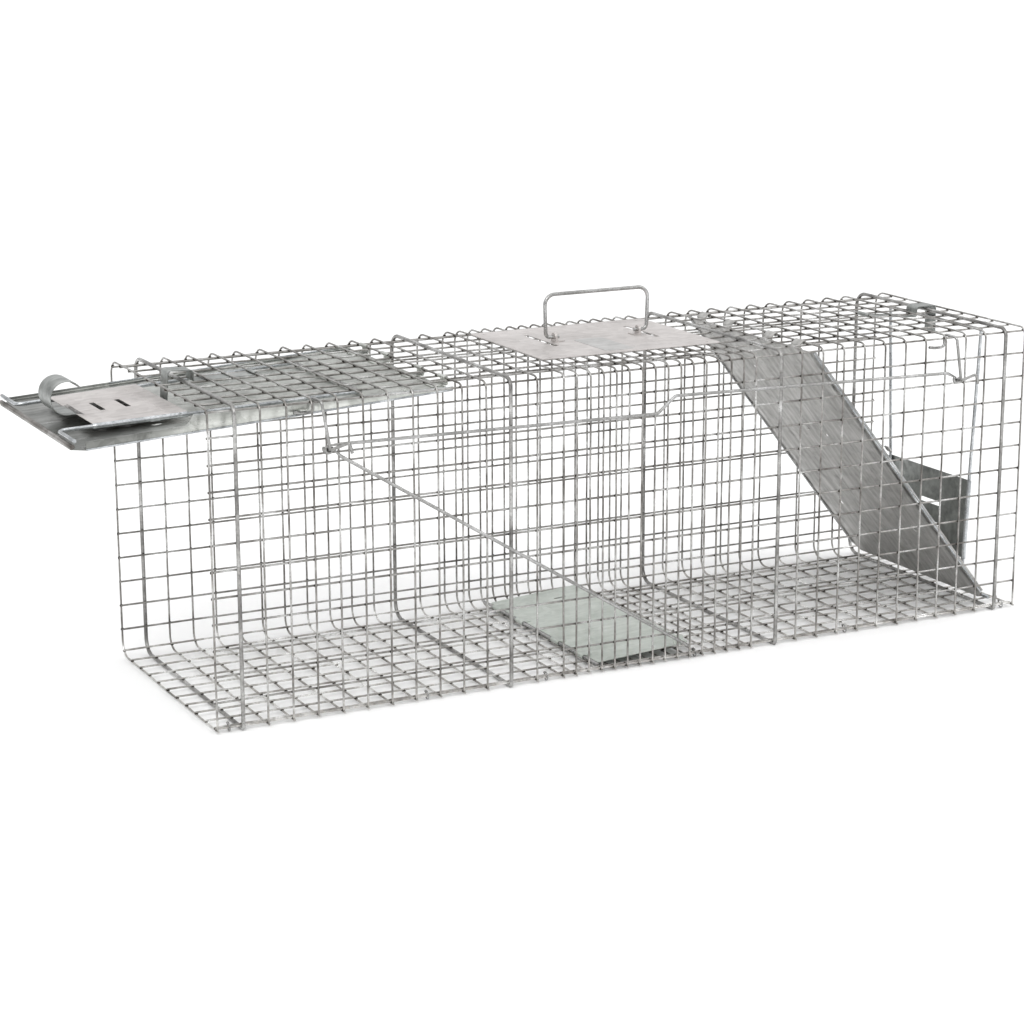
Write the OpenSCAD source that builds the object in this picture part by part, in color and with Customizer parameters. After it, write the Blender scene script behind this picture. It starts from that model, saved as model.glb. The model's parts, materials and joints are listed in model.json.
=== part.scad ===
// Two-door live catch trap: a welded mesh cage, two drop doors with lock bails, a trip pan and its
// linkage along the near side, and a folding carrying handle. Millimetres, +Z up. The origin is the
// centre of the cage's footprint, on the surface it stands on. The near side is at -Y.

/* [Cage] */
// Length between the end wires
cage_l = 914.4; // [914:0.1:915]
// Width between the middles of the two walls' upright wires
cage_w = 272; // [270:1:274]
// Height from the ground to the middle of the top cross wires
top_z = 307; // [306:0.5:308]
// Diameter of the mesh wires
wire_d = 2; // [1.8:0.1:2.2]
// Diameter of the stiffening rings
ring_d = 3.9; // [3.5:0.1:4]
// Spaces between lengthwise wires across the top and floor
cells_across = 10; // [10]
// Bend radius of the top edge on the near side
near_bend = 7.6; // [7:0.1:8]
// Bend radius of the two edges on the far side
far_bend = 15; // [13:1:16]

/* [Doors] */
// Distance of each door's hinge wire from its end of the cage
door_hinge_in = 254; // [254]
// Length of the door from its hinge wire to the outer edge
door_len = 376; // [370:1:376]
// Width of the door over its side flanges
door_w = 246; // [240:1:248]
// Thickness of the door, pan and lock plates
sheet_t = 1; // [0.8:0.1:1]
// How far the door's sheet lies below its hinge wire
door_drop = 7.6; // [7.4:0.1:7.8]
// Slope of an open door
open_tilt = 3.3; // [3.3]
// Swing between open and closed
door_swing = 48.1; // [48.1]

/* [Lock bails] */
// Diameter of the bail wire
bail_d = 3.8; // [3.4:0.1:3.8]
// Length of the bail's legs
leg_len = 290; // [288:1:292]
// Half the width of the bail at its bar
bar_y = 83; // [80:1:85]
// Half the width of the bail at its feet
foot_y = 66; // [64:1:68]
// Reach of each foot from the middle
foot_reach = 115; // [110:1:118]
// Height of the bail's bar, in both positions
bar_z = 298.1; // [298:0.1:298.4]

/* [Linkage] */
// Diameter of the catch wires
catch_d = 3; // [2.8:0.1:3]
// Diameter of the link and trip rods
rod_d = 3.2; // [3:0.1:3.2]
// Distance of the link rod from the middle plane
link_y = 141.8; // [141.5:0.1:142]
// Distance of the trip rod from the middle plane
trip_y = 145.6; // [145.4:0.1:146]
// Distance of the catches' outer arms from the middle plane
arm_y = 149.6; // [149.4:0.1:150]

/* [Handle] */
// Diameter of the handle wire
handle_d = 3.9; // [3.6:0.1:4]
// Span between the handle's legs
handle_span = 118; // [116:1:120]
// Height of the handle above its pins
handle_h = 44; // [40:1:50]

/* [Hidden] */
$fn = 48;

inch = 25.4;
fit = 0.06;
gap = 0.05;

wire_r = wire_d / 2;
ring_r = ring_d / 2;
wall_y = cage_w / 2;
rail_y = wall_y - wire_d;
ring_y = rail_y + wire_r + ring_r;
rail_top_z = top_z - wire_d;
rail_low_z = ring_d + wire_r;
floor_z = rail_low_z - wire_d;
rail_step_y = (cage_w - 6) / cells_across;
rail_step_z = (rail_top_z - rail_low_z) / 12;
end_x = cage_l / 2;

// Thin cross wires, counted in inches from the left end: the middle stretch is closer
end_wires = [0, for (i = [2:3]) i, for (i = [5:9]) i, 11];
middle_wires = [for (k = [2, for (j = [4:19]) j]) 12 + k * 4 / 7];
hinge_at = door_hinge_in / inch;
latch_at = 4;
all_wires = concat(
    end_wires, [hinge_at, latch_at], middle_wires,
    [for (i = end_wires) 36 - i], [36 - hinge_at, 36 - latch_at]
);
top_wires = concat(end_wires, middle_wires, [for (i = end_wires) 36 - i]);
ring_at = [1, 12, 24, 35];
function along(i) = i * inch - end_x;

hinge_x = along(hinge_at);
latch_x = along(latch_at);

// Slope of each bail's legs, and its bar's place, as the trap stands: left door open, right closed
left_bar_x = along(6.8);
left_leg_tilt = 2.4;
right_bar_x = -along(0.65);
right_leg_tilt = 90;

chamfer = 12;

plate_from = 169;
plate_to = 258;
tongue = 7;
curl_r = 16.5;
curl_w = 38;

left_catch_at = 4.15;
right_catch_at = 32.12;
catch_z = 306.7;
catch_inner_y = 128.5;
foot_z = 293.4;
eye_dx = 7.6;
eye_dz = -46;

pan_x = along(15.95);
pan_z = 7.5;
pan_len = 4.25 * inch;
pan_tilt = 3.7;
pan_near = 125;
pan_far = 116;
lug_x = along(19.72);
lug_z = 17.5;

plate_z = top_z + wire_r + gap;
pin_z = plate_z + sheet_t + 4.6;
handle_mid = along(18.93);
handle_y = 14;

steel = "darkgray";
bright = "silver";
dull = "dimgray";
warm = "rosybrown";
green = "darkseagreen";

// ---- Helpers ----

function unit(v) = v / norm(v);
function across(w) = unit(cross(w, abs(w.z) < 0.9 ? [0, 0, 1] : [1, 0, 0]));

// Puts a shape's X, Y and Z along three directions, at a point
module place(x, y, z, at) {
    multmatrix([
        [x.x, y.x, z.x, at.x],
        [x.y, y.y, z.y, at.y],
        [x.z, y.z, z.z, at.z],
        [0, 0, 0, 1]
    ]) children();
}

module rod(a, b, d) {
    w = unit(b - a);
    u = across(w);
    place(u, cross(w, u), w, a) cylinder(d = d, h = norm(b - a));
}

// A wire through a list of points, rounded at each corner
module wire(points, bend, d) {
    n = len(points);
    dir = [for (i = [0:n - 2]) unit(points[i + 1] - points[i])];
    turn = [for (i = [1:n - 2]) acos(dir[i - 1] * dir[i])];
    cut = concat([0], [for (t = turn) bend * tan(t / 2)], [0]);
    for (i = [0:n - 2]) {
        rod(points[i] + dir[i] * cut[i], points[i + 1] - dir[i] * cut[i + 1], d);
    }
    for (i = [1:n - 2]) {
        inward = unit(dir[i] - dir[i - 1] * (dir[i] * dir[i - 1]));
        start = points[i] - dir[i - 1] * cut[i];
        place(-inward, dir[i - 1], cross(-inward, dir[i - 1]), start + inward * bend)
            rotate_extrude(angle = turn[i - 1]) translate([bend, 0]) circle(d = d);
    }
}

// A wire whose runs slant. Each corner is a ball a little wider than the wire, and every other run is
// a hair thinner, so no two equal cylinders cross
module bent_rod(points, d) {
    n = len(points);
    for (i = [0:n - 2]) rod(points[i], points[i + 1], d - 0.1 * (i % 2));
    for (i = [1:n - 2]) ball(points[i], d);
}

module ball(at, d) {
    translate(at) rotate([40, 25, 0]) sphere(d = d + 0.4);
}

// A flat outline in X and Z, given its thickness along Y, centred on the middle plane
module slab_y(w) {
    rotate([90, 0, 0]) linear_extrude(w, center = true) children();
}

module rail(y, z) {
    translate([-end_x - wire_r, y, z]) rotate([0, 90, 0]) cylinder(d = wire_d, h = cage_l + wire_d);
}

// ---- Cage ----

module top_wire(i) {
    translate([along(i), near_bend - wall_y, top_z]) rotate([-90, 0, 0])
        cylinder(d = wire_d, h = cage_w - near_bend - far_bend);
}

module top_mesh() {
    color(steel) {
        for (i = top_wires) top_wire(i);
        for (k = [1:cells_across - 1]) {
            rail((k - cells_across / 2) * rail_step_y, rail_top_z - gap);
        }
    }
}

module near_wall_mesh() {
    low = floor_z + wire_r + 0.3;
    color(steel) {
        for (i = all_wires) {
            translate([along(i), -wall_y, low]) cylinder(d = wire_d, h = top_z - near_bend - low);
        }
        for (k = [0:11]) rail(gap - rail_y, rail_low_z + k * rail_step_z);
    }
}

module far_wall_mesh() {
    color(steel) {
        for (i = all_wires) {
            translate([along(i), wall_y, floor_z + far_bend])
                cylinder(d = wire_d, h = top_z - floor_z - 2 * far_bend);
        }
        for (k = [1:11]) rail(rail_y - gap, rail_low_z + k * rail_step_z);
    }
}

module floor_mesh() {
    color(steel) {
        for (i = all_wires) {
            translate([along(i), -wall_y - 2, floor_z]) rotate([-90, 0, 0])
                cylinder(d = wire_d, h = cage_w + 2 - far_bend);
        }
        for (k = [1:cells_across - 1]) {
            rail((k - cells_across / 2) * rail_step_y, rail_low_z + gap);
        }
        rail(4.5 - rail_y, rail_low_z + gap);
    }
}

// The rounded edge of the mesh: a quarter turn of every cross wire, and one lengthwise wire inside
module edge_bend(y, z, r, from) {
    inner = r - wire_d - gap;
    mid = from + 45;
    color(steel) {
        for (i = all_wires) {
            translate([along(i), y, z]) rotate([90, 0, 90])
                rotate([0, 0, from]) rotate_extrude(angle = 90) translate([r, 0]) circle(d = wire_d);
        }
        rail(y + inner * cos(mid), z + inner * sin(mid));
    }
}

module near_top_bend() {
    edge_bend(near_bend - wall_y, top_z - near_bend, near_bend, 90);
}

module far_top_bend() {
    edge_bend(wall_y - far_bend, top_z - far_bend, far_bend, 0);
}

module far_bottom_bend() {
    edge_bend(wall_y - far_bend, floor_z + far_bend, far_bend, 270);
}

// A thick closed ring outside the lengthwise wires, bent tightly at its near bottom corner
module ring_wire(n) {
    y = ring_y;
    low = ring_r;
    high = rail_top_z + wire_r + ring_r;
    near_r = near_bend + 1;
    far_r = far_bend + 1;
    tight = 3;
    color(dull) translate([along(ring_at[n]), 0, 0]) {
        rod([0, -y, low + tight], [0, -y, high - near_r], ring_d);
        rod([0, near_r - y, high], [0, y - far_r, high], ring_d);
        rod([0, y, high - far_r], [0, y, low + far_r], ring_d);
        rod([0, y - far_r, low], [0, tight - y, low], ring_d);
        ring_corner(near_r - y, high - near_r, near_r, 90);
        ring_corner(y - far_r, high - far_r, far_r, 0);
        ring_corner(y - far_r, low + far_r, far_r, 270);
        ring_corner(tight - y, low + tight, tight, 180);
    }
}

module ring_corner(y, z, r, from) {
    translate([0, y, z]) rotate([90, 0, 90]) rotate([0, 0, from])
        rotate_extrude(angle = 90) translate([r, 0]) circle(d = ring_d);
}

// Hog rings that join the mesh along its near bottom edge
module edge_ties() {
    color(bright) for (i = [0.5, 8.5, 13.6, 20.3, 27.5, 35.5]) {
        translate([along(i), 2.2 - rail_y, rail_low_z + 0.1]) rotate([0, 90, 0])
            rotate_extrude() translate([4.1, 0]) circle(d = 1.4);
    }
}

module hinge_wire(side) {
    color(bright) mirror_to(side) top_wire(hinge_at);
}

module latch_wire(side) {
    color(bright) mirror_to(side) top_wire(latch_at);
}

// Everything at an end is drawn for the left one; side 1 mirrors it to the right
module mirror_to(side) {
    mirror([side, 0, 0]) children();
}

// ---- Handle ----

module handle_plate() {
    x0 = along(14.75);
    y0 = -69;
    color(warm) difference() {
        translate([x0, y0, plate_z]) cube([8.1 * inch, 163, sheet_t]);
        for (side = [-1, 1]) {
            translate([handle_mid + side * handle_span / 2 - 2.5, -11, plate_z - 1]) cube([5, 71, 3]);
        }
    }
}

// Two ears bent up from the plate beside the handle's legs
module handle_lugs() {
    color(warm) for (side = [-1, 1]) {
        x = handle_mid + side * (handle_span / 2 - 10);
        difference() {
            translate([x, handle_y, plate_z + sheet_t + gap]) union() {
                translate([-1.2, -5, 0]) cube([2.4, 10, 4.6]);
                translate([-1.2, 0, 4.6 - gap]) rotate([0, 90, 0]) cylinder(r = 4.5, h = 2.4);
                translate([side > 0 ? -9 : -1.2, -5, 0]) cube([10.2, 10, 1]);
            }
            translate([x - 3, handle_y, pin_z]) rotate([0, 90, 0])
                cylinder(r = handle_d / 2 + fit, h = 6);
        }
    }
}

module carry_handle() {
    s = handle_span / 2;
    pin = s - 15;
    color(bright) translate([handle_mid, handle_y, pin_z])
        wire([
            [-pin, 0, 0], [-s, 0, 0], [-s, 0, handle_h], [s, 0, handle_h], [s, 0, 0], [pin, 0, 0]
        ], 6, handle_d);
}

// ---- Doors: drawn about their hinge wire, with the sheet level ----

module door_pose(side) {
    tilt = side == 0 ? open_tilt : open_tilt + door_swing;
    mirror_to(side) translate([hinge_x, 0, top_z]) rotate([0, -tilt, 0]) children();
}

// One side flange rises away from the hinge and drops before the outer third; the other is low
module door_flange(tall) {
    low = -door_drop - sheet_t / 2;
    top = tall ? [[-262, 9.2], [-269, 3.5], [-275, 0], [6 - door_len, 0]] : [[6 - door_len, -4]];
    slab_y(sheet_t) polygon(concat([[-3, low], [-3, -4.4]], top, [[-door_len, -5], [-door_len, low]]));
}

// The tab that curls round the hinge wire
module hinge_tab() {
    w = 16;
    r_in = wire_r + fit;
    r_out = r_in + sheet_t;
    rotate([90, 0, 0]) rotate([0, 0, -10]) rotate_extrude(angle = 235)
        translate([r_in, -w / 2]) square([sheet_t, w]);
    translate([r_in, -w / 2, -door_drop]) cube([sheet_t, w, door_drop]);
    translate([-5, -w / 2, -door_drop - sheet_t / 2]) cube([5 + r_out, w, sheet_t]);
}

module door_sheet() {
    half = door_w / 2;
    difference() {
        translate([0, 0, -door_drop - sheet_t / 2]) linear_extrude(sheet_t) polygon([
            [-3, -half], [-3, half], [chamfer - door_len, half], [-door_len, half - chamfer],
            [-door_len, chamfer - half], [chamfer - door_len, -half]
        ]);
        for (hole = [[-40, -93], [-60, 40], [-150, -18], [-150, 18], [-280, 70], [-280, -70]]) {
            translate([hole.x, hole.y, -door_drop - 2]) cylinder(d = 4.5, h = 4);
        }
    }
}

module door(side) {
    half = door_w / 2;
    ear_x = side == 0 ? -158.75 : -147;
    color(side == 0 ? "lightslategray" : "gray") door_pose(side) {
        door_sheet();
        for (k = [-3.5, -1.5, 1.5, 3.5]) translate([0, k * rail_step_y, 0]) hinge_tab();
        for (s = [-1, 1]) {
            translate([0, s * (half - sheet_t / 2), 0]) intersection() {
                door_flange(side == 0 ? s < 0 : s > 0);
                translate([-door_len + 12, -2, -20]) cube([door_len, 4, 40]);
            }
        }
        translate([-door_len, chamfer - half, -door_drop - sheet_t / 2])
            cube([sheet_t, door_w - 2 * chamfer, 3.4]);
        translate([ear_x - 4, -half - 8, -2.3]) cube([8, 9, 1.2]);
    }
}

// ---- Lock bails: drawn about their bar, with the legs level ----

function bar_x(side) = side == 0 ? left_bar_x : -right_bar_x;
function leg_tilt(side) = side == 0 ? left_leg_tilt : right_leg_tilt;
journal_r = 0.95;
eye_w = 5;

module bail_pose(side) {
    mirror_to(side) translate([bar_x(side), 0, bar_z]) rotate([0, -leg_tilt(side), 0]) children();
}

module lock_bar(side) {
    inner = bar_y - eye_w / 2 - 0.3;
    color(bright) mirror_to(side) translate([bar_x(side), 0, bar_z]) rotate([90, 0, 0]) {
        cylinder(d = bail_d, h = 2 * inner, center = true);
        cylinder(r = journal_r, h = 2 * bar_y + eye_w, center = true);
    }
}

module lock_bail(side) {
    color(bright) bail_pose(side) for (s = [-1, 1]) {
        difference() {
            union() {
                bent_rod([
                    [-0.6, s * bar_y, 0], [-leg_len, s * foot_y, 0], [-leg_len, s * foot_reach, 0]
                ], bail_d);
                translate([0, s * bar_y, 0]) rotate([90, 0, 0])
                    cylinder(d = bail_d, h = eye_w, center = true);
            }
            translate([0, s * bar_y, 0]) rotate([90, 0, 0])
                cylinder(r = journal_r + fit, h = eye_w + 4, center = true);
        }
    }
}

function leg_y(t) = bar_y - (bar_y - foot_y) * t / leg_len;

// Plate across the legs, rolled round them at both sides, with a finger curl at its outer edge
module lock_plate(side) {
    z = bail_d / 2 + gap;
    lean = atan((bar_y - foot_y) / leg_len);
    w0 = leg_y(plate_from);
    w1 = leg_y(plate_to);
    color(side == 0 ? warm : "gray") bail_pose(side) {
        difference() {
            translate([0, 0, z]) linear_extrude(0.8) polygon([
                [-plate_from, -w0], [-plate_from, w0], [-plate_to, w1], [-plate_to, -w1]
            ]);
            for (t = [plate_from + 38, plate_from + 62.6]) {
                translate([-t - 2.5, -18.5, z - 1]) cube([5, 37, 3]);
            }
        }
        translate([-plate_to - tongue, -curl_w / 2, z]) cube([tongue + 1, curl_w, 0.8]);
        for (s = [-1, 1]) {
            translate([-plate_from, s * w0, 0]) rotate([0, 0, s * lean]) half_roll(s, z + 0.1);
        }
        translate([-plate_to - tongue, 0, z + curl_r]) rotate([90, 0, 0]) rotate([0, 0, 30])
            rotate_extrude(angle = 246) translate([curl_r - 0.7, 0.2 - curl_w / 2]) square([0.6, curl_w - 0.4]);
    }
}

// The rolled side of the plate, from inside its edge round the outside of a leg
module half_roll(s, r) {
    mirror([0, s > 0 ? 0 : 1, 0]) rotate([0, -90, 0]) rotate([0, 0, -12]) rotate_extrude(angle = 192)
        translate([r, 0]) square([0.6, plate_to - plate_from]);
}

// ---- Latches: drawn about their wire, lowered ----

latch_lift = 3.86;
latch_w = 19;
latch_t = 1.2;

// A dull strap: curled round its wire, along over the sheet, up over the ring and down to a toe
module latch(side) {
    lift = side == 0 ? latch_lift : 0;
    r_in = wire_r + fit;
    low = -r_in - 0.2;
    knee = -2.5 * inch;
    knee_z = 301.3 - top_z;
    top = 311.9 - top_z;
    toe = -3.5 * inch;
    toe_z = 281.2 - top_z;
    t = latch_t;
    color(bright) mirror_to(side) translate([latch_x, rail_step_y / 2, top_z]) rotate([0, lift, 0]) {
        rotate([90, 0, 0]) rotate([0, 0, -110]) rotate_extrude(angle = 290)
            translate([r_in, -latch_w / 2]) square([t, latch_w]);
        slab_y(latch_w - 0.2) polygon([
            [-0.2, low], [-6, low - 0.5], [knee + t, knee_z], [knee + t, top], [toe - t, top],
            [toe - t, toe_z + t], [toe - t - 3, toe_z + t], [toe - t - 3, toe_z], [toe, toe_z],
            [toe, top - t], [knee, top - t], [knee, knee_z - t], [-6, low - t - 0.5], [-0.2, low - t]
        ]);
    }
}

// ---- Catches and rods ----

module catch_wire(side) {
    x = along(side == 0 ? left_catch_at : right_catch_at);
    low = catch_z + eye_dz;
    elbow = [x, -arm_y, catch_z];
    corner = [x + eye_dx, -arm_y, low];
    color(bright) {
        wire([
            [x - 19, -catch_inner_y, foot_z], [x, -catch_inner_y, foot_z],
            [x, -catch_inner_y, catch_z], elbow
        ], 2.6, catch_d);
        ball(elbow, catch_d);
        rod(elbow, corner, catch_d - 0.1);
        ball(corner, catch_d);
        rod(corner, [x + eye_dx, -link_y + rod_d / 2 + 0.5, low], catch_d);
        bent_rod([corner + [0.6, 0, 0.1], corner + [19, 0, 5], corner + [22, 0, -5]], catch_d - 0.2);
    }
}

// A flat eye round a pin that lies along Y
module eye(x, y, z) {
    difference() {
        translate([x, y, z]) rotate([90, 0, 0]) cylinder(r = 4.6, h = rod_d + 0.2, center = true);
        translate([x, y, z]) rotate([90, 0, 0])
            cylinder(r = catch_d / 2 + fit, h = rod_d + 2, center = true);
    }
}

module link_rod() {
    x0 = along(left_catch_at) + eye_dx;
    x1 = along(right_catch_at) + eye_dx;
    z = catch_z + eye_dz;
    jog0 = along(18.25);
    jog1 = along(19.05);
    color(bright) {
        for (x = [x0, x1]) eye(x, -link_y, z);
        bent_rod([
            [x0 + 3.4, -link_y, z + 1], [x0 + 14, -link_y, z + 3], [jog0, -link_y, z - 1.5],
            [jog1, -link_y, z + 14.5], [x1 - 12, -link_y, z + 7.5], [x1 - 3, -link_y, z + 2]
        ], rod_d);
    }
}

module trip_rod() {
    x0 = along(left_catch_at) + eye_dx;
    z = catch_z + eye_dz;
    down = unit([lug_x - x0, 0, lug_z - z]);
    color(bright) {
        eye(x0, -trip_y, z);
        bent_rod([
            [x0, -trip_y, z] + down * 3.4, [lug_x, -trip_y, lug_z], [lug_x, 1.5 - pan_near, lug_z]
        ], rod_d);
    }
}

// ---- Trip pan ----

module pan_pivot_rod() {
    color(bright) translate([pan_x, 0, pan_z]) rotate([90, 0, 0])
        cylinder(r = 1.5, h = 258, center = true);
}

module trip_pan() {
    knuckle_w = 16;
    r_in = 1.5 + fit;
    w = pan_near + pan_far;
    tab_x = (lug_x - pan_x) * cos(pan_tilt) + (lug_z - pan_z) * sin(pan_tilt);
    tab_z = (lug_z - pan_z) * cos(pan_tilt) - (lug_x - pan_x) * sin(pan_tilt);
    color(green) translate([pan_x, 0, pan_z]) rotate([0, -pan_tilt, 0]) difference() {
        union() {
            translate([2.8, -pan_near, -sheet_t / 2]) cube([pan_len - 2.8, w, sheet_t]);
            for (k = [-3.5, -1.5, 1.5, 3.5]) translate([0, k * rail_step_y, 0]) {
                rotate([90, 0, 0]) cylinder(r = r_in + 0.9, h = knuckle_w, center = true);
                translate([0, -knuckle_w / 2, -sheet_t / 2]) cube([4, knuckle_w, sheet_t]);
            }
            translate([tab_x - 6, -pan_near, -sheet_t / 2]) cube([12, sheet_t, tab_z + 6]);
        }
        rotate([90, 0, 0]) cylinder(r = r_in, h = 300, center = true);
        translate([tab_x, -pan_near, tab_z]) rotate([90, 0, 0])
            cylinder(r = rod_d / 2 + 0.9, h = 10, center = true);
        translate([pan_len * 0.6, 84, -3]) cube([14, 3, 6]);
    }
}

top_mesh();
near_wall_mesh();
far_wall_mesh();
floor_mesh();
near_top_bend();
far_top_bend();
far_bottom_bend();
edge_ties();
ring_wire(0);  // ring_wire_1
ring_wire(1);  // ring_wire_2
ring_wire(2);  // ring_wire_3
ring_wire(3);  // ring_wire_4
hinge_wire(0);  // left_hinge_wire
hinge_wire(1);  // right_hinge_wire
latch_wire(0);  // left_latch_wire
latch_wire(1);  // right_latch_wire
handle_plate();
handle_lugs();
carry_handle();
door(0);  // left_door
lock_bar(0);  // left_lock_bar
lock_bail(0);  // left_lock_bail
lock_plate(0);  // left_lock_plate
latch(0);  // left_latch
door(1);  // right_door
lock_bar(1);  // right_lock_bar
lock_bail(1);  // right_lock_bail
lock_plate(1);  // right_lock_plate
latch(1);  // right_latch
catch_wire(0);  // left_catch
catch_wire(1);  // right_catch
link_rod();
trip_rod();
trip_pan();
pan_pivot_rod();
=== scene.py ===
"""Looks of a two-door live catch trap: bent wires, weld marks, folded sheet parts and zinc finishes.

Lengths are in millimetres until a piece is made, which scales it to metres.
"""
import json
import math
import random

import bmesh
import bpy
from mathutils import Matrix, Vector, noise


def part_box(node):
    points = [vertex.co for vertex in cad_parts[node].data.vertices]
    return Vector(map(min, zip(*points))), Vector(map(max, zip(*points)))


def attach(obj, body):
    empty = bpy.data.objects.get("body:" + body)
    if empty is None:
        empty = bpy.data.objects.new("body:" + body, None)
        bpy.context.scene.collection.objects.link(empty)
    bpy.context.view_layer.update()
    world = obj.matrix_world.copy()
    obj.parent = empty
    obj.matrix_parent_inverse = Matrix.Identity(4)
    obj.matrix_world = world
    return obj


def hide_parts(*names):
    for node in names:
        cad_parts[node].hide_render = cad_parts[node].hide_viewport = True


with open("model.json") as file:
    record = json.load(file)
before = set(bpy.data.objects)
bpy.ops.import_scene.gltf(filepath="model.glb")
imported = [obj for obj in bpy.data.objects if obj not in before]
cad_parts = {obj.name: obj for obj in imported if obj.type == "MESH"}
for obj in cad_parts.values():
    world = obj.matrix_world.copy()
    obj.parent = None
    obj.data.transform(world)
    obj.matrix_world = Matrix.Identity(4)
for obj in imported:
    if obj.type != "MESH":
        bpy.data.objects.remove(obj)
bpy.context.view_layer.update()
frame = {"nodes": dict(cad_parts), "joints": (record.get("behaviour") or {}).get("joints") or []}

MM = 0.001
INCH = 25.4

# ---- Sizes, as in the CAD model ----

END_X = 457.2
WALL_Y = 136.0
TOP_Z = 307.0
WIRE_R = 1.0
RING_R = 1.95
BAIL_R = 1.9
CATCH_R = 1.5
ROD_R = 1.6
NEAR_BEND = 7.6
FAR_BEND = 15.0
TIGHT_BEND = 3.0
FLOOR_Z = 2.9
RAIL_Y = 133.95
RAIL_LOW_Z = 4.9
RAIL_TOP_Z = 304.95
RAIL_STEP_Y = 26.6
RAIL_STEP_Z = 25.008
DOOR_LEN = 376.0
DOOR_HALF = 123.0
DOOR_DROP = 7.6
EAR_X = {"left": -158.75, "right": -147.0}
OPEN_TILT = 3.3
DOOR_SWING = 48.1
SHEET_T = 1.0
LEG_LEN = 290.0
BAR_Y = 83.0
FOOT_Y = 66.0
FOOT_REACH = 115.0
LEG_TILT = {"left": 2.4, "right": 90.0}
PLATE_FROM = 169.0
PLATE_TO = 258.0
PLATE_T = 0.8
TONGUE = 7.0
CURL_R = 15.7
CURL_HALF = 19.0
LATCH_T = 1.2
LATCH_W = 19.0
LATCH_LIFT = 3.86
LATCH_KNEE_Z = 300.7
LATCH_TOP_Z = 311.3
LATCH_TOE_Z = 281.8
LINK_Y = 141.8
TRIP_Y = 145.6
ARM_Y = 149.6
CATCH_INNER_Y = 128.5
CATCH_FOOT_Z = 293.4
EYE_DX = 7.6
EYE_DZ = -46.0
PAN_TILT = 3.7
PAN_LEN = 107.95
PAN_NEAR = 125.0
PAN_FAR = 116.0
PIVOT_HALF = 129.0
PIVOT_R = 1.5
LUG_INCHES = 19.72
LUG_Z = 17.5
JOG_INCHES = (18.25, 19.05)
HANDLE_HALF = 59.0
HANDLE_H = 44.0
PANEL_INCHES = (17.8, 19.1)

SIDES = ("left", "right")
THIN_WIRES = [0, 2, 3, 4, 5, 6, 7, 8, 9, 10, 11]
MIDDLE_WIRES = [12 + k * 4 / 7 for k in [2, *range(4, 20)]]
STRAIGHT_WIRES = (4, 10, 26, 32)
RINGS = (1, 12, 24, 35)
HOG_RINGS = (0.5, 8.5, 13.6, 20.3, 27.5, 35.5)


def along(inches):
    """The X of a place counted in inches from the left end."""
    return inches * INCH - END_X


def joint_at(name):
    """A joint's position, in millimetres."""
    for joint in frame["joints"]:
        if joint["name"] == name:
            return Vector(joint["pos_m"]) / MM
    raise KeyError(name)


# ---- Materials ----

def shader(name, metallic, roughness, specular=0.5):
    """A new material with its tree, its Principled shader and a coordinate node."""
    mat = bpy.data.materials.new(name)
    mat.use_nodes = True
    tree = mat.node_tree
    bsdf = tree.nodes["Principled BSDF"]
    bsdf.inputs["Metallic"].default_value = metallic
    bsdf.inputs["Roughness"].default_value = roughness
    bsdf.inputs["Specular IOR Level"].default_value = specular
    coords = tree.nodes.new("ShaderNodeTexCoord")
    return mat, tree, bsdf, coords.outputs["Object"]


def mapped(tree, vector, sizes, slope):
    """Stretches a texture to the given feature sizes, its X along a line that falls by slope radians."""
    node = tree.nodes.new("ShaderNodeMapping")
    node.vector_type = "TEXTURE"
    node.inputs["Scale"].default_value = sizes
    node.inputs["Rotation"].default_value = (0, slope, 0)
    tree.links.new(vector, node.inputs["Vector"])
    return node.outputs["Vector"]


def noise_tex(tree, vector, scale, detail=3.0, rough=0.5):
    node = tree.nodes.new("ShaderNodeTexNoise")
    node.inputs["Scale"].default_value = scale
    node.inputs["Detail"].default_value = detail
    node.inputs["Roughness"].default_value = rough
    tree.links.new(vector, node.inputs["Vector"])
    return node.outputs["Fac"]


def voronoi(tree, vector, scale, randomness=1.0):
    node = tree.nodes.new("ShaderNodeTexVoronoi")
    node.inputs["Scale"].default_value = scale
    node.inputs["Randomness"].default_value = randomness
    tree.links.new(vector, node.inputs["Vector"])
    return node.outputs["Color"]


def ramp(tree, value, stops):
    node = tree.nodes.new("ShaderNodeValToRGB")
    while len(node.color_ramp.elements) < len(stops):
        node.color_ramp.elements.new(0.5)
    for element, (place, colour) in zip(node.color_ramp.elements, stops):
        element.position = place
        element.color = (*colour, 1)
    tree.links.new(value, node.inputs["Fac"])
    return node.outputs["Color"]


def mix(tree, amount, a, b, mode="MIX"):
    """Blends two colours; amount is a number or a socket."""
    node = tree.nodes.new("ShaderNodeMix")
    node.data_type = "RGBA"
    node.blend_type = mode
    if isinstance(amount, float):
        node.inputs["Factor"].default_value = amount
    else:
        tree.links.new(amount, node.inputs["Factor"])
    tree.links.new(a, node.inputs["A"])
    tree.links.new(b, node.inputs["B"])
    return node.outputs["Result"]


def bump(tree, bsdf, height, strength, distance):
    node = tree.nodes.new("ShaderNodeBump")
    node.inputs["Strength"].default_value = strength
    node.inputs["Distance"].default_value = distance
    tree.links.new(height, node.inputs["Height"])
    tree.links.new(node.outputs["Normal"], bsdf.inputs["Normal"])


def fade(tree, vector, axis, start, end, low, high):
    """A grey that goes from low to high as one coordinate goes from start to end, in metres."""
    split = tree.nodes.new("ShaderNodeSeparateXYZ")
    tree.links.new(vector, split.inputs["Vector"])
    node = tree.nodes.new("ShaderNodeMapRange")
    for key, value in (("From Min", start), ("From Max", end), ("To Min", low), ("To Max", high)):
        node.inputs[key].default_value = value
    tree.links.new(split.outputs[axis], node.inputs["Value"])
    return node.outputs["Result"]


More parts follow.
